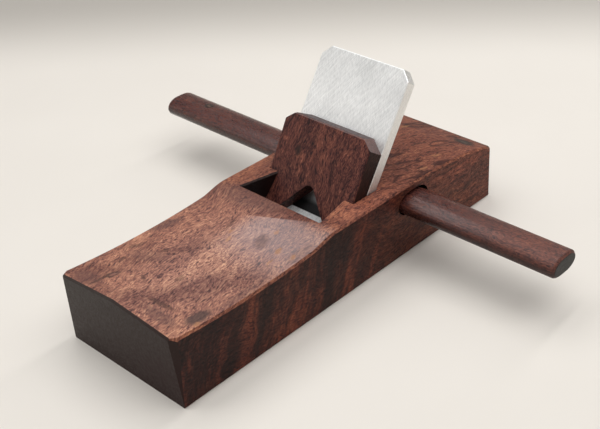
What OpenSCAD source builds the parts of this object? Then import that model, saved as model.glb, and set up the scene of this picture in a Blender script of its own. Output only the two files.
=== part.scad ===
// A wooden smoothing plane with a wedged iron and a loose cross handle.
// The origin is on the sole's middle line, straight under the middle of the handle's mortise.
// +X points to the toe, +Y to the plane's left side, +Z up.

/* [Body] */
// Length of the body, heel to toe
body_l = 212; // [204:1:224]
// Width of the body
body_w = 74.6; // [72:0.2:82]
// Height of the deck above the sole
deck_h = 37.5; // [35:0.5:42]
// Length of the deck's gentle fall to the heel
bow_l = 80; // [60:1:90]
// Radius of that gentle fall
bow_r = 600; // [400:10:900]
// Length of the steeper fall right at the heel
tail_l = 30; // [20:1:40]
// Radius of the steeper fall
tail_r = 150; // [110:5:300]
// Width of the small flats that ease the long edges
ease = 0.9; // [0.4:0.1:1.4]
// Width of the flats on the sole's edges
sole_ease = 0.4; // [0.2:0.1:0.8]
// Width of the worn flat at the top of each toe corner
corner_ease = 3; // [1.2:0.1:4]

/* [Front hollows] */
// Depth of the hollow below the deck, at the side of the body
hollow_drop = 4.3; // [3.9:0.1:5.5]
// Radius of the hollow's long curve
hollow_r = 450; // [380:10:700]
// Distance of the hollow's lowest line from the toe
hollow_back = 44; // [38:1:50]
// Length of the ramp that rises from the hollow to the deck
ramp_l = 16; // [12:0.5:20]
// Outward tilt of each hollow, which leaves a ridge on the middle line
hollow_tilt = 4.8; // [3.5:0.1:5]

/* [Bed and throat] */
// Angle of the bed to the sole
bed_angle = 55; // [50:0.5:60]
// Distance of the bed's foot from the heel
bed_set = 105.2; // [102:0.2:110]
// Gap between the cutting edge and the front of the mouth
mouth_gap = 0.8; // [0.4:0.1:1.5]
// Height of the upright wear above the mouth
wear_h = 6; // [4:0.5:8]
// Forward lean of the throat's front wall above the wear
wall_lean = 3.9; // [2:0.1:7]
// How far each cheek stands in from the side of the slot, at the deck
cheek_w = 6.5; // [4:0.1:8]
// How far the throat's front corners stand in from the side of the slot
front_inset = 1.9; // [1:0.1:3]
// Width of the flat along the top of each cheek
cheek_ease = 0.8; // [0.4:0.1:1.2]

/* [Iron] */
// Width of the iron
iron_w = 55; // [50:0.5:57]
// Thickness of the iron
iron_t = 5.8; // [4.8:0.1:6.4]
// Distance of the iron's top from the foot of the bed, along the bed
iron_up = 102.3; // [94:0.5:112]
// Size of the iron's clipped top corners
iron_clip = 5; // [3:0.1:7]
// Angle ground on the back of the iron
grind_angle = 30; // [25:1:35]
// Height of the cutting edge above the sole when the plane is put away
edge_lift = 0.15; // [0.1:0.05:0.3]
// Room between the iron and each side of its slot
slot_gap = 0.3; // [0.2:0.05:0.5]

/* [Wedge] */
// Thickness of the wedge at its top
wedge_t = 9.9; // [9:0.1:11]
// Taper of the wedge
wedge_taper = 3.4; // [2.5:0.1:4]
// Distance of the wedge's top from the foot of the bed, along the bed
wedge_up = 67.5; // [64:0.5:76]
// How much lower the front of the wedge's top is than its back
wedge_slant = 1.4; // [0.5:0.1:2]
// Width that each clipped top corner takes
wedge_clip_w = 7.4; // [5:0.1:9]
// Height that each clipped top corner takes
wedge_clip_h = 6; // [4:0.1:8]
// Distance of the notch's top from the foot of the bed, along the bed
notch_up = 35.7; // [33:0.5:38]
// Radius at the top of the notch
notch_r = 4; // [3:0.1:5]
// Angle of each leg of the notch to the middle line
notch_angle = 41; // [37:0.5:42]
// Distance of the prongs' tips from the foot of the bed, along the bed
prong_down = 7; // [6:0.2:9]
// Width of the flats on the wedge's front edges
wedge_ease = 0.6; // [0.3:0.1:1]

/* [Cross handle] */
// Length of the cross handle
handle_l = 259; // [230:1:280]
// Width of the handle's flattened oval, along the plane
handle_w = 19.4; // [17:0.2:21]
// Thickness of the handle's flattened oval
handle_t = 10.6; // [9:0.2:11]
// Depth of the rounding at the handle's front and back
handle_nose = 7.8; // [6:0.1:8.2]
// How far the handle is pushed towards the plane's right side
handle_shift = 6; // [0:0.5:12]
// Width of the eased rim at each end
handle_rim = 1.3; // [0.4:0.1:1.8]
// Distance of the mortise's middle from the heel
mortise_set = 63.6; // [58:0.2:66]
// Distance of the mortise's middle below the deck
mortise_drop = 9.8; // [9.6:0.1:14]
// Free room in front of and behind the handle, together
mortise_free_x = 2.6; // [1.6:0.1:4]
// Free room above the handle
mortise_free_z = 1.4; // [0.8:0.1:2]

/* [Hidden] */
// Overshoot of every cut past the face that it opens
over = 2;
// Blank height left above the deck for the hollows to cut
spare = 5;
// Steps on each curve of the ramp, the hollow and the oval, and half of those on the deck
curve_steps = 16;
heel_x = -mortise_set;
toe_x = heel_x + body_l;
side_y = body_w / 2;
high = deck_h + 40;
// Bed, mouth and throat, as distances along the plane
bed_x = heel_x + bed_set;
edge_x = bed_x + iron_t / sin(bed_angle);
mouth_x = edge_x + mouth_gap;
throat_x = mouth_x + wall_lean;
slot_y = iron_w / 2 + slot_gap;
front_angle = bed_angle + wedge_taper;
cheek_x = face_x(deck_h);
cheek_y = slot_y - cheek_w;
throat_y = slot_y - front_inset;
// Front hollows
ramp_x = throat_x + ramp_l;
hollow_x = toe_x - hollow_back;
floor_h = deck_h - hollow_drop;
// Iron and wedge, along the bed and square to it
edge_s = -iron_t / tan(bed_angle) + edge_lift / sin(bed_angle);
prong_t = iron_t + wedge_t - (wedge_up - prong_down) * tan(wedge_taper);
wedge_front_up = wedge_up - wedge_slant;
wedge_front_t = iron_t + wedge_t - wedge_slant * tan(wedge_taper);
wedge_w = iron_w;
notch_centre = notch_up - notch_r;
// Cross handle and its mortise
mortise_w = handle_w + mortise_free_x;
mortise_t = handle_t + mortise_free_z;
mortise_z = deck_h - mortise_drop;
handle_z = mortise_z - mortise_free_z / 2;

// Place of the wedge's front face at a height above the sole
function face_x(z) =
    let (s = wedge_up, t = iron_t + wedge_t)
    let (x = bed_x - s * cos(bed_angle) + t * sin(bed_angle))
    let (top = s * sin(bed_angle) + t * cos(bed_angle))
    x + (top - z) / tan(front_angle);

// Height of the deck at a distance from the heel
function deck_z(d) =
    deck_h - pow(max(bow_l - d, 0), 2) / (2 * bow_r) - pow(max(tail_l - d, 0), 2) / (2 * tail_r);

// Smooth step from 0 to 1
function smooth(t) = t * t * (3 - 2 * t);

// Height of the hollow at the side of the body
function hollow_z(x) =
    let (low = floor_h + pow(x - hollow_x, 2) / (2 * hollow_r))
    x < ramp_x ? low + (deck_h - low) * smooth((ramp_x - x) / ramp_l) : low;

// Points of the deck's fall from the heel on, moved on by a share of one step
function deck_points(shift) = [for (i = [0 : 2 * curve_steps])
    let (d = ease + (bow_l - ease) * (i + shift) / (2 * curve_steps)) [heel_x + d, deck_z(d)]];

// Points of the ramp and of the hollow behind the toe, moved on in the same way
function front_points(shift) = concat(
    [for (i = [1 : curve_steps - 1])
        let (x = throat_x + ramp_l * (i - shift) / curve_steps) [x, hollow_z(x)]],
    [for (i = [0 : curve_steps - 1])
        let (x = ramp_x + (toe_x - ease - ramp_x) * (i + shift) / curve_steps) [x, hollow_z(x)]]
);

toe_end = [toe_x + over, hollow_z(toe_x - ease) - ease - over];
front_line = concat([[throat_x, deck_h]], front_points(0),
    [[toe_x - ease, hollow_z(toe_x - ease)], toe_end]);

// Cuts away all that lies above a line of [x, z] points at the side of the body, on a
// surface that rises inwards at the given angle
module cut_above(line, angle, y) {
    lifted = [for (p = line) [p.x, y * sin(angle) + p.y * cos(angle)]];
    top = [[line[len(line) - 1].x, high], [line[0].x, high]];
    rotate([90 - angle, 0, 0])
        linear_extrude(4 * body_w, center = true) polygon(concat(lifted, top));
}

// The same shape on both sides of the plane
module both_sides() {
    children();
    mirror([0, 1, 0]) children();
}

// Side view with the curved deck, and a spare block in front for the hollows
module blank() {
    outline = concat([[heel_x, 0], [heel_x, deck_z(0) - ease]], deck_points(0),
        [[hollow_x, deck_h], [hollow_x, deck_h + spare], [toe_x, deck_h + spare], [toe_x, 0]]);
    rotate([90, 0, 0]) linear_extrude(body_w, center = true) polygon(outline);
}

// Flats along the body's edges: deck to side, heel to side, toe to side, and the sole's rim
module eased_edges() {
    // The points fall between those of the top's own curves, so that no two facets share an edge
    deck_side = concat([[heel_x - over, deck_z(0) - over]], deck_points(0.5), front_points(0.5), [toe_end]);
    cut_above(deck_side, 45, side_y - ease);
    translate([heel_x, side_y, 0]) rotate([0, 0, 45])
        cube([ease * sqrt(2), ease * sqrt(2), 4 * deck_h], center = true);
    // The toe's upright edges are worn away at the top and sharp at the sole
    translate([toe_x, side_y, 0]) rotate([0, 0, 45])
        translate([0, -body_w, 0]) rotate([0, -atan(corner_ease / sqrt(2) / deck_h), 0])
        cube([body_w, 2 * body_w, 2 * deck_h]);
    translate([0, side_y, 0]) rotate([45, 0, 0])
        cube([2 * body_l, sole_ease * sqrt(2), sole_ease * sqrt(2)], center = true);
}

// Throat and slot: full width where the iron and the wedge lie, narrower between the cheeks
module throat() {
    // Height at which the wedge's front face would meet the throat's front wall
    rise = wall_lean / (deck_h - wear_h);
    meet_z = wear_h + (face_x(wear_h) - mouth_x) / (rise + 1 / tan(front_angle));
    wall = [[mouth_x, -over], [mouth_x, wear_h], [mouth_x + (meet_z - wear_h) * rise, meet_z]];
    slot = concat(wall, [[face_x(high), high], [bed_x - high / tan(bed_angle), high],
        [bed_x + over / tan(bed_angle), -over]]);
    rotate([90, 0, 0]) linear_extrude(2 * slot_y, center = true) polygon(slot);

    front_top = mouth_x + (high - wear_h) * rise;
    window = [wall[2], [front_top, high], [face_x(high), high]];
    plan_angle = atan2(throat_y - cheek_y, throat_x - cheek_x);
    // The cheeks' faces lean out so that they die away at the foot of the wedge
    foot = [wall[2].x - cheek_x, slot_y - cheek_y];
    lean = atan2(foot.y * cos(plan_angle) - foot.x * sin(plan_angle), deck_h - meet_z);
    difference() {
        rotate([90, 0, 0]) linear_extrude(2 * slot_y, center = true) polygon(window);
        both_sides() translate([cheek_x, cheek_y, deck_h]) rotate([0, 0, plan_angle])
            rotate([lean, 0, 0]) translate([-body_l, 0, -high]) cube([2 * body_l, body_w, 3 * high]);
    }
    both_sides() translate([cheek_x, cheek_y, deck_h]) rotate([0, 0, plan_angle]) rotate([45, 0, 0])
        translate([-over, -cheek_ease / sqrt(2), -cheek_ease / sqrt(2)])
        cube([(throat_x - cheek_x) / cos(plan_angle) + over, cheek_ease * sqrt(2), cheek_ease * sqrt(2)]);
}

// Flattened oval: flat above and below, rounded in front and behind
module oval(w, t, nose) {
    nose_pts = [for (i = [0 : curve_steps]) let (a = 180 * i / curve_steps - 90)
        [w / 2 - nose + nose * cos(a), t / 2 * sin(a)]];
    polygon(concat(nose_pts, [for (p = nose_pts) [-p.x, -p.y]]));
}

module mortise() {
    translate([0, 0, mortise_z]) rotate([90, 0, 0])
        linear_extrude(2 * body_w, center = true) oval(mortise_w, mortise_t, handle_nose);
}

module body() {
    color("#6b3b2e") difference() {
        blank();
        both_sides() cut_above(front_line, hollow_tilt, side_y);
        both_sides() eased_edges();
        throat();
        mortise();
    }
}

// Puts a shape drawn as [across, up the bed, out of the bed] in its place on the bed
module on_bed() {
    translate([bed_x, 0, 0]) rotate([0, bed_angle, 0]) rotate([0, 0, 90]) children();
}

// Extrudes a [up the bed, out of the bed] outline across the plane
module across(w) {
    rotate([90, 0, 90]) linear_extrude(w, center = true) children();
}

module iron() {
    clip_y = iron_w / 2 - iron_clip;
    color("#c9c8c4") on_bed() intersection() {
        across(iron_w) polygon([[edge_s, iron_t], [iron_up, iron_t], [iron_up, 0],
            [edge_s + iron_t / tan(grind_angle), 0]]);
        linear_extrude(iron_t) polygon([[-iron_w / 2, edge_s], [iron_w / 2, edge_s],
            [iron_w / 2, iron_up - iron_clip], [clip_y, iron_up], [-clip_y, iron_up],
            [-iron_w / 2, iron_up - iron_clip]]);
    }
}

// Notch between the prongs: straight legs that run into a round top
module notch() {
    touch_y = notch_r * cos(notch_angle);
    touch_s = notch_centre + notch_r * sin(notch_angle);
    leg = touch_s - prong_down + over;
    translate([0, 0, iron_t - over]) linear_extrude(2 * wedge_t) {
        translate([0, notch_centre]) circle(notch_r, $fn = 48);
        polygon([[-touch_y, touch_s], [touch_y, touch_s],
            [touch_y + leg * tan(notch_angle), touch_s - leg],
            [-touch_y - leg * tan(notch_angle), touch_s - leg]]);
    }
}

module wedge() {
    clip_y = wedge_w / 2 - wedge_clip_w;
    clip_s = wedge_up - wedge_clip_h;
    color("#5d342b") on_bed() difference() {
        intersection() {
            across(wedge_w) polygon([[prong_down, iron_t], [prong_down, prong_t],
                [wedge_front_up, wedge_front_t], [wedge_up, iron_t]]);
            translate([0, 0, iron_t]) linear_extrude(2 * wedge_t) polygon([
                [-wedge_w / 2, prong_down], [wedge_w / 2, prong_down], [wedge_w / 2, clip_s],
                [clip_y, wedge_up], [-clip_y, wedge_up], [-wedge_w / 2, clip_s]]);
        }
        notch();
        // Flats on the front face's two long edges and along its top
        for (side = [-1, 1])
            translate([side * wedge_w / 2, wedge_front_up, wedge_front_t]) rotate([wedge_taper, 0, 0])
                rotate([0, 45, 0])
                cube([wedge_ease * sqrt(2), 2 * wedge_up, wedge_ease * sqrt(2)], center = true);
        translate([0, wedge_front_up, wedge_front_t]) rotate([45, 0, 0])
            cube([2 * wedge_w, wedge_ease * sqrt(2), wedge_ease * sqrt(2)], center = true);
    }
}

// One end of the handle: the oval drawn in a little at its rim
module handle_end() {
    hull() {
        linear_extrude(0.01) oval(handle_w, handle_t, handle_nose);
        translate([0, 0, handle_rim - 0.01]) linear_extrude(0.01)
            oval(handle_w - 2 * handle_rim, handle_t - 2 * handle_rim, handle_nose - handle_rim);
    }
}

module cross_handle() {
    straight = handle_l - 2 * handle_rim;
    color("#5a352d") translate([0, -handle_shift, handle_z]) rotate([90, 0, 0]) {
        linear_extrude(straight, center = true) oval(handle_w, handle_t, handle_nose);
        translate([0, 0, straight / 2]) handle_end();
        mirror([0, 0, 1]) translate([0, 0, straight / 2]) handle_end();
    }
}

body();
iron();
wedge();
cross_handle();
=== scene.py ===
"""Looks of a wooden smoothing plane: figured hardwood and a brushed iron on a pale table."""

from math import cos, pi, radians, sin

import bpy
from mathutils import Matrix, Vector

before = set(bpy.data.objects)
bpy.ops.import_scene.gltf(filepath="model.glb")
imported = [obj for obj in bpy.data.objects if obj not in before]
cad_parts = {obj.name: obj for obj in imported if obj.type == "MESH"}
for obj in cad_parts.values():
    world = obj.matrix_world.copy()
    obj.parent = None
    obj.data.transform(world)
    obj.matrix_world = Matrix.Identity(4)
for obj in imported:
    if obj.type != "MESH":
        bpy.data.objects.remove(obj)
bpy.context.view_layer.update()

# The materials measure in millimetres, from the CAD's origin
MM = 0.001
AHEAD, BESIDE, UP = (1, 0, 0), (0, 1, 0), (0, 0, 1)
BED_FOOT = (41.6, 0, 0)
BED_ANGLE = radians(55)
UP_BED = (-cos(BED_ANGLE), 0, sin(BED_ANGLE))
OFF_BED = (sin(BED_ANGLE), 0, cos(BED_ANGLE))
ON_BED = (0, -BED_ANGLE, 0)
UNTURNED = (0, 0, 0)
HALF = (0.5, 0.5, 0.5)


# Shader building

class Shader:
    """A node material on one object, with short calls for the nodes it uses."""

    def __init__(self, name):
        self.mat = bpy.data.materials.new(name)
        self.mat.use_nodes = True
        self.tree = self.mat.node_tree
        self.tree.nodes.clear()
        self.out = self.tree.nodes.new("ShaderNodeOutputMaterial")
        self.bsdf = self.tree.nodes.new("ShaderNodeBsdfPrincipled")
        self.join(self.bsdf.outputs[0], self.out.inputs["Surface"])
        coords = self.tree.nodes.new("ShaderNodeTexCoord")
        self.place = self.vector("SCALE", coords.outputs["Object"], scale=1 / MM)
        self.normal = coords.outputs["Normal"]
        self.ragged = None
        self.color = None

    def join(self, a, b):
        self.tree.links.new(a, b)

    def put(self, socket, value):
        if isinstance(value, bpy.types.NodeSocket):
            self.join(value, socket)
        else:
            socket.default_value = value

    def math(self, op, *values):
        node = self.tree.nodes.new("ShaderNodeMath")
        node.operation = op
        for socket, value in zip(node.inputs, values):
            self.put(socket, value)
        return node.outputs[0]

    def vector(self, op, a, b=None, scale=None):
        node = self.tree.nodes.new("ShaderNodeVectorMath")
        node.operation = op
        self.put(node.inputs[0], a)
        if b is not None:
            self.put(node.inputs[1], b)
        if scale is not None:
            self.put(node.inputs["Scale"], scale)
        return node.outputs["Value" if op in ("LENGTH", "DOT_PRODUCT") else "Vector"]

    def turn(self, vec, angles=UNTURNED, shift=(0, 0, 0), pace=(1, 1, 1)):
        """Rotates and shifts, then stretches: the grain lies along the new X."""
        turned = self.tree.nodes.new("ShaderNodeMapping")
        turned.vector_type = "POINT"
        turned.inputs["Rotation"].default_value = angles
        turned.inputs["Location"].default_value = shift
        self.join(vec, turned.inputs["Vector"])
        return self.vector("MULTIPLY", turned.outputs[0], pace)

    def noise(self, vec, scale, detail=3.0, rough=0.55, color=False):
        node = self.tree.nodes.new("ShaderNodeTexNoise")
        self.put(node.inputs["Vector"], vec)
        node.inputs["Scale"].default_value = scale
        node.inputs["Detail"].default_value = detail
        node.inputs["Roughness"].default_value = rough
        return node.outputs["Color" if color else 0]

    def figure(self, vec, angles, pace, shift=(0, 0, 0), detail=2, rough=0.6):
        """Noise whose pace, in steps for each millimetre, differs along the three turned axes."""
        return self.noise(self.turn(vec, angles, shift, pace), 1.0, detail, rough)

    def wander(self, vec, scale, reach, detail=2, rough=0.55):
        """A vector that moves things about by up to half of reach."""
        drift = self.vector("SUBTRACT", self.noise(vec, scale, detail, rough, color=True), HALF)
        return self.vector("SCALE", drift, scale=reach)

    def ramp(self, value, *stops):
        node = self.tree.nodes.new("ShaderNodeValToRGB")
        self.put(node.inputs[0], value)
        elements = node.color_ramp.elements
        while len(elements) < len(stops):
            elements.new(1)
        for element, (at, shade) in zip(elements, stops):
            element.position = at
            element.color = (*(shade if isinstance(shade, tuple) else (shade,) * 3), 1)
        return node.outputs[0]

    def step(self, value, low, high):
        node = self.tree.nodes.new("ShaderNodeMapRange")
        node.interpolation_type = "SMOOTHSTEP"
        self.put(node.inputs["Value"], value)
        node.inputs["From Min"].default_value = low
        node.inputs["From Max"].default_value = high
        return node.outputs[0]

    def mix(self, factor, a, b, mode="MIX"):
        node = self.tree.nodes.new("ShaderNodeMix")
        node.data_type = "RGBA"
        node.blend_type = mode
        node.clamp_factor = True
        self.put(node.inputs["Factor"], factor)
        for socket, value in ((node.inputs[6], a), (node.inputs[7], b)):
            self.put(socket, (*value, 1) if isinstance(value, tuple) else value)
        return node.outputs[2]

    def bump(self, height, strength, distance, under=None):
        node = self.tree.nodes.new("ShaderNodeBump")
        node.inputs["Strength"].default_value = strength
        node.inputs["Distance"].default_value = distance
        self.join(height, node.inputs["Height"])
        if under is not None:
            self.join(under, node.inputs["Normal"])
        return node.outputs[0]

    def far(self, direction):
        """How far along a direction a point lies, in millimetres."""
        return self.vector("DOT_PRODUCT", self.place, direction)

    def facing(self, direction):
        """How squarely a surface faces a direction, from -1 to 1."""
        return self.vector("DOT_PRODUCT", self.normal, direction)

    def lying(self, direction):
        """The same for a surface that may face it from either side, from 0 to 1."""
        return self.math("ABSOLUTE", self.facing(direction))

    def both(self, *masks):
        """Where all of the masks are."""
        total = masks[0]
        for mask in masks[1:]:
            total = self.math("MULTIPLY", total, mask)
        return total

    def without(self, mask):
        """Where a mask isn't."""
        return self.math("SUBTRACT", 1.0, mask)

    def inside(self, value, low, high, soft):
        """1 where low < value < high, with soft borders."""
        return self.both(self.step(value, low - soft, low + soft),
                         self.without(self.step(value, high - soft, high + soft)))

    def spot(self, centre, size, soft, lean=0.0):
        """1 inside a ragged oval of half sizes about centre, turned by lean degrees, 0 outside."""
        if self.ragged is None:
            drift = self.wander(self.place, 0.45, 3.0, 3, 0.65)
            self.ragged = self.vector("ADD", self.place, drift)
        away = self.vector("SUBTRACT", self.ragged, centre)
        away = self.turn(away, (0, 0, radians(-lean)), pace=tuple(1 / s for s in size))
        return self.without(self.step(self.vector("LENGTH", away), 1 - soft, 1 + soft))

    def paint(self, mask, shade, strength=1.0):
        self.color = self.mix(self.math("MULTIPLY", mask, strength), self.color, shade)

    def tint(self, mask, shade, strength=1.0):
        """Like paint, but it multiplies what lies under it."""
        self.color = self.mix(self.math("MULTIPLY", mask, strength), self.color,
                              self.mix(1.0, self.color, shade, "MULTIPLY"))


# Wood

# From the darkest vein to the palest fleck
BODY_SHADES = ((0.045, 0.015, 0.012), (0.105, 0.034, 0.024), (0.18, 0.06, 0.037),
               (0.27, 0.098, 0.055), (0.39, 0.165, 0.088))
SMALL_SHADES = ((0.02, 0.009, 0.009), (0.05, 0.018, 0.016), (0.098, 0.034, 0.027),
                (0.16, 0.057, 0.039), (0.28, 0.115, 0.07))
SHADES_AT = (0.16, 0.34, 0.5, 0.66, 0.86)
MEAN_TONE = 0.56
LAYER_LEAN = (0.0, 0.17, 0.53)


def wood(name, grain, shades, end, seed=0.0, fleck=1.0, bow=(0.0, 0.0)):
    """Dense figured wood. grain is the rotation that lays the fibre along X, end is the fibre's
    direction, whose faces show the closed dark end grain, seed picks another piece of wood,
    fleck sets the strength of the small figure, and bow bends the fibre sideways along X."""
    s = Shader(name)
    s.ahead, s.beside = s.far(AHEAD), s.far(BESIDE)
    drift = s.math("MULTIPLY", s.ahead, s.math("MULTIPLY_ADD", s.ahead, bow[1], bow[0]))
    bowed = s.vector("ADD", s.place, s.vector("SCALE", BESIDE, scale=drift))
    s.seeded = s.vector("ADD", bowed, (seed, seed * 0.7, seed * 1.3))
    # The fibre wanders a little, and the whole figure with it
    s.bent = s.vector("ADD", s.seeded, s.wander(s.seeded, 0.03, 14.0))
    s.bent = s.vector("ADD", s.bent, s.wander(s.seeded, 0.16, 1.6))
    cloud = s.figure(s.bent, grain, (0.022, 0.07, 0.07), detail=3, rough=0.55)
    streak = s.figure(s.bent, grain, (0.05, 0.3, 0.3), (0, 30, 0), detail=3)
    s.dash = s.figure(s.bent, grain, (0.27, 0.9, 0.9), (9, 0, 0))
    s.fine = s.figure(s.bent, grain, (0.6, 1.8, 1.8), (0, 0, 7))
    pore = s.figure(s.bent, grain, (0.36, 1.3, 1.3), (0, 5, 0), detail=1, rough=0.5)
    pore = s.without(s.step(pore, 0.34, 0.45))
    # Growth layers, close and ragged, show as lines where a cut crosses them
    layer = s.vector("DOT_PRODUCT", s.turn(s.bent, grain), LAYER_LEAN)
    layer = s.math("MULTIPLY_ADD", cloud, 7.0, layer)
    layer = s.math("MULTIPLY_ADD", streak, 2.2, layer)
    line = s.both(s.step(s.math("PINGPONG", layer, 1.0), 0.7, 0.95), s.step(cloud, 0.36, 0.6))
    # Each noise is 0.5 on average, and their shares leave the mean tone where it is
    shares = ((cloud, 0.6), (streak, 0.35), (s.dash, 0.45 * fleck), (s.fine, 1.1 * fleck))
    tone = MEAN_TONE - 0.5 * sum(share for _, share in shares)
    for part, share in (*shares, (line, -0.13), (pore, -0.26 * fleck)):
        tone = s.math("MULTIPLY_ADD", part, share, tone)
    s.color = s.ramp(tone, *zip(SHADES_AT, shades))
    s.across = s.step(s.lying(end), 0.8, 0.95)
    closed = s.noise(s.seeded, 1.4, 4, 0.7)
    s.paint(s.across, s.ramp(closed, (0.3, shades[0]), (0.7, shades[1])))
    return s


def finish_wood(s, rough=0.5, shine=0.2):
    """rough is the mean roughness: the dashes of the figure vary it."""
    s.join(s.color, s.bsdf.inputs["Base Color"])
    s.join(s.math("MULTIPLY_ADD", s.dash, -0.4, s.math("ADD", rough, 0.2)),
           s.bsdf.inputs["Roughness"])
    s.bsdf.inputs["Specular IOR Level"].default_value = shine
    grooves = s.bump(s.step(s.fine, 0.3, 0.5), 0.3, 0.12 * MM)
    s.join(s.bump(s.dash, 0.3, 0.3 * MM, grooves), s.bsdf.inputs["Normal"])
    return s.mat


# The body

DARK = (0.035, 0.016, 0.014)
DUSKY = (0.095, 0.048, 0.044)
ORANGE = (0.42, 0.2, 0.09)

# Marks in the top face: centre, half sizes along and across, turn in degrees, shade, strength
MARKS = (
    ((94, -33.2, 34), (8, 3.5, 9), -20, DUSKY, 0.6),
    ((56, -13, 37), (9, 19, 9), 10, DUSKY, 0.5),
    ((143, -24, 36), (4, 8, 9), 0, DUSKY, 0.4),
    ((116, -18, 35), (4, 10, 9), 20, DUSKY, 0.35),
    ((78.3, 14.5, 34), (5, 3, 9), 30, DUSKY, 0.45),
    ((141, 21, 36), (3, 9, 9), 0, DUSKY, 0.5),
    ((108, 34.5, 34), (12, 2.5, 9), 0, DUSKY, 0.45),
    ((74, 34, 35), (8, 3, 9), 0, DUSKY, 0.35),
    ((135, -17.4, 37), (3.6, 1.9, 6), -15, DARK, 0.8),
    ((134.6, -17.2, 37), (1.9, 0.8, 6), -15, (0.27, 0.13, 0.1), 0.8),
    ((142, -18.3, 36), (4, 0.8, 6), 0, DARK, 0.6),
    ((124.5, -25.2, 36), (2.6, 0.8, 6), 20, DARK, 0.6),
    ((128.9, -4.3, 37), (2.4, 1, 6), 60, DARK, 0.6),
    ((109, -14.9, 34), (2.4, 1.3, 6), -40, DARK, 0.5),
    ((113.8, -29.9, 34), (3, 1.2, 6), -30, DARK, 0.5),
    ((135.5, 15.5, 36), (1.4, 6.8, 6), 8, DARK, 0.6),
    ((119.4, 7.7, 35), (2.6, 1.4, 6), 10, DARK, 0.45),
    ((78, -6, 34), (4.5, 1, 6), 15, DARK, 0.5),
    ((130.8, 32.2, 35), (6.2, 3, 6), 0, (0.055, 0.036, 0.034), 0.8),
    ((134.3, 35.1, 35), (1.8, 0.9, 6), 0, ORANGE, 0.6),
    ((81.9, -1.4, 34), (2, 0.8, 6), 20, ORANGE, 0.6),
    ((78.2, 24.7, 34), (2.6, 1.2, 6), 20, ORANGE, 0.6),
    ((69.5, 15.4, 34), (1.8, 0.9, 6), 20, ORANGE, 0.5),
    ((86.1, 27.4, 34), (2.4, 0.8, 6), 15, ORANGE, 0.5),
    ((76.9, 32.6, 34), (2, 0.9, 6), 15, ORANGE, 0.6),
    ((86.6, 2.2, 34), (2.4, 0.8, 6), 10, ORANGE, 0.5),
    ((-54.8, 26, 31), (3.1, 6.4, 5), 0, (0.022, 0.015, 0.013), 0.93),
    ((-54.8, 26, 31), (1.1, 3.2, 5), 0, (0.075, 0.055, 0.042), 0.8),
    ((-35, 13, 33), (5, 0.8, 5), -25, DARK, 0.6),
    ((-38, 0.3, 33), (4, 0.8, 5), -10, DARK, 0.6),
    ((-42, 23, 33), (4.5, 0.9, 5), -30, DARK, 0.6),
    ((-14.6, 32, 35), (2.4, 0.8, 5), -10, ORANGE, 0.6),
    ((-30, 28, 34), (3, 0.9, 5), -20, ORANGE, 0.5),
    ((-47, -7, 32), (3, 1, 5), -20, ORANGE, 0.5),
)


def hollow_sheen_and_figure(s, top):
    """The hollows carry a painted sheen: they are paler and pinker, and crossed by slanting bands
    of figure.
    """
    hollow = s.both(s.step(s.ahead, 50, 64), top)
    # Painted sheen: the hollows are made paler and pinker
    s.tint(hollow, (1.6, 2.0, 2.25))
    bands = s.figure(s.bent, (0, 0, radians(50)), (0.02, 0.06, 0.06), detail=3, rough=0.55)
    s.tint(hollow, s.ramp(bands, (0.36, (0.5, 0.45, 0.5)), (0.5, 1.0)), 0.85)
    # Before the throat runs a slanting border: painted shade on the throat's side, a painted dull
    # sheen beyond it
    border = s.far((1, 0.51, 0))
    painted_shade_strip = s.both(s.inside(border, 40, 66.8, 0.6), s.step(s.ahead, 45, 50),
                   s.step(s.beside, -16, 4), top)
    s.tint(painted_shade_strip, (0.62, 0.56, 0.6), 0.85)
    painted_sheen = s.both(s.step(border, 66.2, 67.4), s.without(s.step(s.ahead, 72, 104)), hollow,
                  s.step(s.beside, -8, 6))
    s.paint(painted_sheen, (0.3, 0.225, 0.205), 0.4)
    s.color = s.mix(painted_sheen, s.color, (0.03, 0.033, 0.038), "ADD")
    # Painted sheen makes the middle of the hollows the palest
    s.tint(s.both(s.spot((100, 9, 33), (38, 24, 40), 0.8), hollow), (1.09, 1.2, 1.28))


def stain_heel(s, top):
    """The heel's deck has the strongest lines."""
    heel = s.both(s.without(s.step(s.ahead, -5, 30)), top)
    contour = s.figure(s.bent, UNTURNED, (0.02, 0.08, 0.08), (60, 0, 0), detail=3, rough=0.45)
    contour = s.step(s.math("PINGPONG", s.math("MULTIPLY", contour, 8.0), 1.0), 0.76, 0.97)
    s.tint(s.both(contour, heel), (0.32, 0.26, 0.29))
    s.tint(heel, (0.9, 0.84, 0.86))


def side_figure_and_shade(s):
    """The sides carry painted shade: their upright bands towards the toe and fine lines towards the
    heel darken them, more so towards the toe.
    """
    side = s.step(s.lying(BESIDE), 0.75, 0.95)
    slanted = (0, radians(20), 0)
    wide = s.figure(s.bent, slanted, (0.075, 0.03, 0.012), rough=0.5)
    narrow = s.figure(s.bent, slanted, (0.5, 0.3, 0.06), (4, 0, 0))
    bands = s.ramp(s.math("MULTIPLY_ADD", narrow, 0.5, wide), (0.6, (0.1, 0.085, 0.1)),
                   (0.76, (0.23, 0.165, 0.175)), (0.94, (0.75, 0.5, 0.44)))
    lines = s.ramp(s.figure(s.bent, UNTURNED, (0.03, 0.3, 0.62), (0, 0, 3)),
                   (0.34, (0.34, 0.3, 0.32)), (0.52, (0.7, 0.58, 0.58)), (0.7, (1.0, 0.82, 0.78)))
    # Painted shade: the sides are darkened through the bands and lines of their figure
    s.tint(side, s.mix(s.step(s.ahead, 60, -40), bands, lines))
    s.tint(s.both(side, s.step(s.ahead, 95, 140)), (0.62, 0.62, 0.7))


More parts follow.
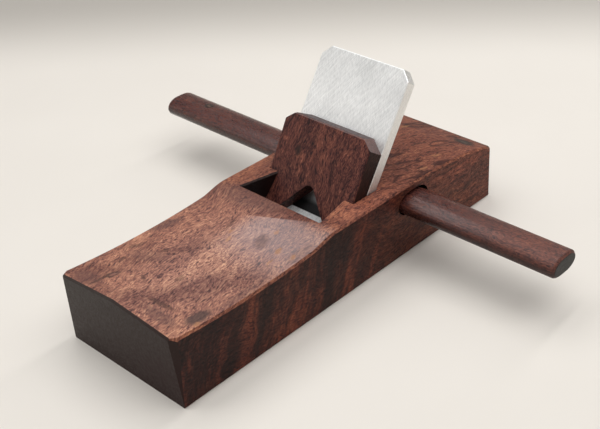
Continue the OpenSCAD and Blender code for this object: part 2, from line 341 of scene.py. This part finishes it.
def body_material():
    s = wood("body_wood", UNTURNED, BODY_SHADES, AHEAD, bow=(0.13, -0.0017))
    top = s.step(s.facing(UP), 0.75, 0.92)
    hollow_sheen_and_figure(s, top)
    stain_heel(s, top)
    for centre, size, lean, shade, strength in MARKS:
        s.paint(s.both(s.spot(centre, size, 0.4, lean), top), shade, strength)
    side_figure_and_shade(s)
    # Two places are lighter: the cheek beside the wedge, and the side's edge over the mortise; the
    # latter is a painted highlight
    s.tint(s.spot((24, 31, 36), (20, 8, 6), 0.8), (1.3, 1.25, 1.25))
    s.tint(s.spot((-30, 37.3, 28), (24, 9, 5), 0.8), (1.4, 1.32, 1.28))
    # The toe's end grain is closed and smooth; its darkening towards the low corner is painted
    # shade
    toe = s.step(s.facing(AHEAD), 0.4, 0.6)
    closed = s.math("MULTIPLY_ADD", s.noise(s.seeded, 0.05, 4), 0.4, s.far((0, -0.01, 0.02)))
    s.paint(toe, s.ramp(closed, (0.1, (0.021, 0.005, 0.004)), (1.0, (0.04, 0.029, 0.025))))
    # Painted shade: the throat and the mortise are painted dark inside
    throat = s.both(s.inside(s.ahead, -6, 61, 0.5), s.inside(s.beside, -28.2, 28.2, 0.2))
    s.paint(s.both(throat, s.without(top)), (0.01, 0.005, 0.005), 0.93)
    mortise = s.both(s.inside(s.ahead, -13, 13, 0.5), s.inside(s.beside, -37, 37, 0.1),
                     s.inside(s.far(UP), 15, 34, 0.1))
    s.paint(mortise, (0.006, 0.004, 0.004))
    return finish_wood(s)


# The handle and the wedge

END_BLACK = (0.012, 0.01, 0.008)
EYE_DARK = (0.02, 0.012, 0.01)


def handle_material():
    s = wood("handle_wood", (0, 0, -pi / 2), SMALL_SHADES, BESIDE, 40.0, fleck=0.7)
    eye = (-0.9, -110.7, 32)
    s.paint(s.spot(eye, (2.2, 3.0, 3), 0.3), EYE_DARK, 0.9)
    s.paint(s.spot(eye, (0.8, 1.1, 3), 0.3), (0.14, 0.09, 0.06))
    # Along +Y the handle goes from a darker, purple-grey tone, partly a painted sheen, to a redder
    # outer end, which is also rougher
    outer = s.step(s.beside, 50, 105)
    s.tint(1.0, s.ramp(outer, (0.0, (0.74, 0.65, 0.67)), (1.0, (1.0, 0.82, 0.7))))
    # Painted shade: the faces that look down are darkened
    low = s.without(s.step(s.facing(UP), -0.1, 0.75))
    s.tint(low, (0.4, 0.37, 0.38))
    s.paint(s.across, END_BLACK)
    return finish_wood(s, s.math("MULTIPLY_ADD", outer, 0.27, 0.28), shine=0.5)


def wedge_material():
    s = wood("wedge_wood", ON_BED, SMALL_SHADES, UP_BED, 90.0, fleck=1.05)
    tall = s.figure(s.bent, ON_BED, (0.02, 0.3, 0.3), (0, 12, 0), detail=4)
    s.tint(1.0, s.ramp(tall, (0.38, (0.65, 0.58, 0.64)), (0.6, (1.36, 1.22, 1.2))))
    s.paint(s.spot((25.1, -13.6, 48.7), (2.2, 1.8, 3), 0.3), EYE_DARK, 0.7)
    # Painted shade: the wedge's sides, deep between the cheeks, are painted near black
    s.paint(s.step(s.lying(BESIDE), 0.75, 0.95), (0.012, 0.007, 0.006), 0.8)
    # The clipped corners are painted paler and greyer, a painted sheen
    s.paint(s.inside(s.facing(UP_BED), 0.45, 0.85, 0.1), (0.17, 0.125, 0.12), 0.5)
    return finish_wood(s, 0.48)


# The iron

LAPPED_TO = (22.7, 23.1)
WHITE = (1.0, 1.0, 1.0)


def iron_material():
    s = Shader("iron_steel")
    up = s.vector("DOT_PRODUCT", s.vector("SUBTRACT", s.place, BED_FOOT), UP_BED)
    off = s.facing(OFF_BED)
    face = s.step(off, 0.9, 0.98)
    # Scratches lie in the face, a third of a right angle off its length
    flat = s.turn(s.place, ON_BED)
    scratch = s.figure(flat, (0, 0, radians(33)), (0.1, 2.0, 2.0))
    speck = s.figure(flat, (0, 0, radians(-15)), (0.45, 1.7, 1.7))
    cloud = s.noise(s.place, 0.05, 2, 0.5)
    # Painted shade in the reflection: the face darkens a little towards its top and towards +Y
    tone = s.math("MULTIPLY_ADD", scratch, 0.5, s.math("MULTIPLY", speck, 0.5))
    tone = s.math("MULTIPLY_ADD", s.math("SUBTRACT", cloud, 0.5), 0.3, tone)
    tone = s.math("MULTIPLY_ADD", s.step(up, 50, 106), -0.12, tone)
    tone = s.math("MULTIPLY_ADD", s.step(s.far(BESIDE), 5, 30), -0.04, tone)
    s.color = s.ramp(tone, (0.25, (0.62, 0.625, 0.62)), (0.66, (1.0, 1.0, 0.99)))
    # Painted reflection: the iron's sides are made lighter and warmer
    s.paint(s.step(s.lying(BESIDE), 0.9, 0.98), (1.0, 0.98, 0.95), 0.4)
    # The broken edges get a painted highlight: their colour is white
    flats = s.math("MAXIMUM", s.lying(OFF_BED), s.lying(BESIDE))
    rim = s.without(s.step(flats, 0.93, 0.99))
    s.paint(s.both(rim, s.step(off, 0.3, 0.5)), WHITE)
    # Above the lapped end of the face lies a dark band of painted shade, whose upper edge fades out
    above = s.step(up, *LAPPED_TO)
    s.paint(s.both(above, s.without(s.step(up, 27.0, 34.0)), face), (0.02, 0.019, 0.02), 0.97)
    s.join(s.color, s.bsdf.inputs["Base Color"])
    # The lapped end scatters light as paper does, so it isn't metallic
    s.join(s.without(s.both(s.without(above), face)), s.bsdf.inputs["Metallic"])
    s.join(s.ramp(scratch, (0.3, 0.44), (0.7, 0.6)), s.bsdf.inputs["Roughness"])
    s.join(s.bump(tone, 0.2, 0.1 * MM), s.bsdf.inputs["Normal"])
    return s.mat


# Dressing of the CAD nodes: the materials, and the small rounding of their edges

JOIN_WITHIN = 0.002 * MM
FLAT_WITHIN = radians(0.3)
ROUND_FROM = radians(22)


def dress(name, material, rounding):
    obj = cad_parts[name]
    slot = obj.material_slots[0]
    slot.link = "OBJECT"
    slot.material = material
    weld = obj.modifiers.new("join_corners", "WELD")
    weld.merge_threshold = JOIN_WITHIN
    flat = obj.modifiers.new("merge_flat", "DECIMATE")
    flat.decimate_type = "DISSOLVE"
    flat.angle_limit = FLAT_WITHIN
    edge = obj.modifiers.new("round_edges", "BEVEL")
    edge.width = rounding
    edge.segments = 3
    edge.limit_method = "ANGLE"
    edge.angle_limit = ROUND_FROM
    edge.use_clamp_overlap = True


dress("body", body_material(), 0.4 * MM)
dress("iron", iron_material(), 0.4 * MM)
dress("wedge", wedge_material(), 0.3 * MM)
dress("cross_handle", handle_material(), 0.4 * MM)


# Studio

BACKDROP = (0.6, 0.555, 0.5)
TABLE_HALF = 6.0
TABLE_PALE = ((0.76, 0.715, 0.655), (0.78, 0.735, 0.675))
TABLE_PAINTED_SHADE = (0.46, 0.43, 0.39)
# Painted shade on the table: its pale part is an oval, long across the view, whose radius fades
# over this
DIM_TURN = radians(139.6)
DIM_OVER = (195, 330)
FADE_OVER = (400, 900)
# The world is pale up to the first height and dim from the second, and lights with SKY_LIGHT
SKY_HEIGHTS = (0.27, 0.42)
SKY_HIGH = (0.1, 0.1, 0.1)
SKY_LIGHT = (0.12, 0.12, 0.12)


def seen(tree):
    """1 for what is seen, straight, mirrored or through something, and 0 for light."""
    path = tree.nodes.new("ShaderNodeLightPath")
    total = path.outputs["Is Camera Ray"]
    for other in ("Is Glossy Ray", "Is Transmission Ray"):
        node = tree.nodes.new("ShaderNodeMath")
        node.operation = "ADD"
        node.use_clamp = True
        tree.links.new(total, node.inputs[0])
        tree.links.new(path.outputs[other], node.inputs[1])
        total = node.outputs[0]
    return total


def table():
    """A pale table top, with painted shade that dims it away from the plane, and which fades into
    the backdrop further out.
    """
    corners = [(x * TABLE_HALF, y * TABLE_HALF, 0) for x, y in ((-1, -1), (1, -1), (1, 1), (-1, 1))]
    mesh = bpy.data.meshes.new("table")
    mesh.from_pydata(corners, [], [(0, 1, 2, 3)])
    obj = bpy.data.objects.new("table", mesh)
    bpy.context.scene.collection.objects.link(obj)
    s = Shader("table_paper")
    paper = s.ramp(s.noise(s.place, 0.01, 2), *zip((0.3, 0.7), TABLE_PALE))
    oval = s.turn(s.place, (0, 0, DIM_TURN), pace=(1, 0.3, 1))
    painted_falloff = s.step(s.vector("LENGTH", oval), *DIM_OVER)
    s.join(s.mix(painted_falloff, paper, TABLE_PAINTED_SHADE), s.bsdf.inputs["Base Color"])
    s.bsdf.inputs["Roughness"].default_value = 0.6
    s.bsdf.inputs["Specular IOR Level"].default_value = 0.2
    glow = s.tree.nodes.new("ShaderNodeEmission")
    glow.inputs["Color"].default_value = (*BACKDROP, 1)
    blend = s.tree.nodes.new("ShaderNodeMixShader")
    far_out = s.step(s.vector("LENGTH", s.place), *FADE_OVER)
    s.join(s.both(seen(s.tree), far_out), blend.inputs[0])
    s.join(s.bsdf.outputs[0], blend.inputs[1])
    s.join(glow.outputs[0], blend.inputs[2])
    s.join(blend.outputs[0], s.out.inputs["Surface"])
    mesh.materials.append(s.mat)


def surroundings():
    """The backdrop as a world: pale up to the height a view can show, dim above it."""
    world = bpy.data.worlds.new("studio")
    world.use_nodes = True
    tree = world.node_tree
    coords = tree.nodes.new("ShaderNodeTexCoord")
    parts = tree.nodes.new("ShaderNodeSeparateXYZ")
    tree.links.new(coords.outputs["Generated"], parts.inputs[0])
    fade = tree.nodes.new("ShaderNodeValToRGB")
    fade.color_ramp.interpolation = "EASE"
    for element, at, shade in zip(fade.color_ramp.elements, SKY_HEIGHTS, (BACKDROP, SKY_HIGH)):
        element.position = at
        element.color = (*shade, 1)
    tree.links.new(parts.outputs["Z"], fade.inputs[0])
    mix = tree.nodes.new("ShaderNodeMix")
    mix.data_type = "RGBA"
    tree.links.new(seen(tree), mix.inputs["Factor"])
    mix.inputs[6].default_value = (*SKY_LIGHT, 1)
    tree.links.new(fade.outputs[0], mix.inputs[7])
    tree.links.new(mix.outputs[2], tree.nodes["Background"].inputs["Color"])
    bpy.context.scene.world = world


def panel(name, place, aim, size, power):
    """A soft area light at place that shines towards aim, with its power in watts."""
    light = bpy.data.lights.new(name, "AREA")
    light.shape = "RECTANGLE"
    light.size, light.size_y = size
    light.energy = power
    obj = bpy.data.objects.new(name, light)
    obj.location = place
    obj.rotation_euler = (Vector(aim) - Vector(place)).to_track_quat("-Z", "Y").to_euler()
    bpy.context.scene.collection.objects.link(obj)


table()
surroundings()
panel("key", (-0.33, 0, 0.75), (0, 0, 0), (0.08, 1.5), 3.0)
panel("left_top", (0.05, -0.52, 1.0), (0.05, -0.2, 0), (1.5, 0.65), 6.8)
panel("right_top", (0.05, 0.52, 1.0), (0.05, 0.2, 0), (1.5, 0.65), 6.8)
panel("toe_side", (0.75, -0.75, 0.55), (0.03, 0, 0.05), (0.6, 0.5), 1.1)
bpy.context.scene.view_settings.view_transform = "Standard"

camera = bpy.data.cameras.new("camera")
camera.lens = 61.073
camera.sensor_width = 36
camera.shift_x = -0.1789
camera.shift_y = 0.1032
eye = bpy.data.objects.new("camera", camera)
eye.location = (0.32155, 0.3058, 0.28838)
eye.rotation_euler = (radians(53.8058), radians(1.0882), radians(129.5975))
bpy.context.scene.collection.objects.link(eye)
bpy.context.scene.camera = eye
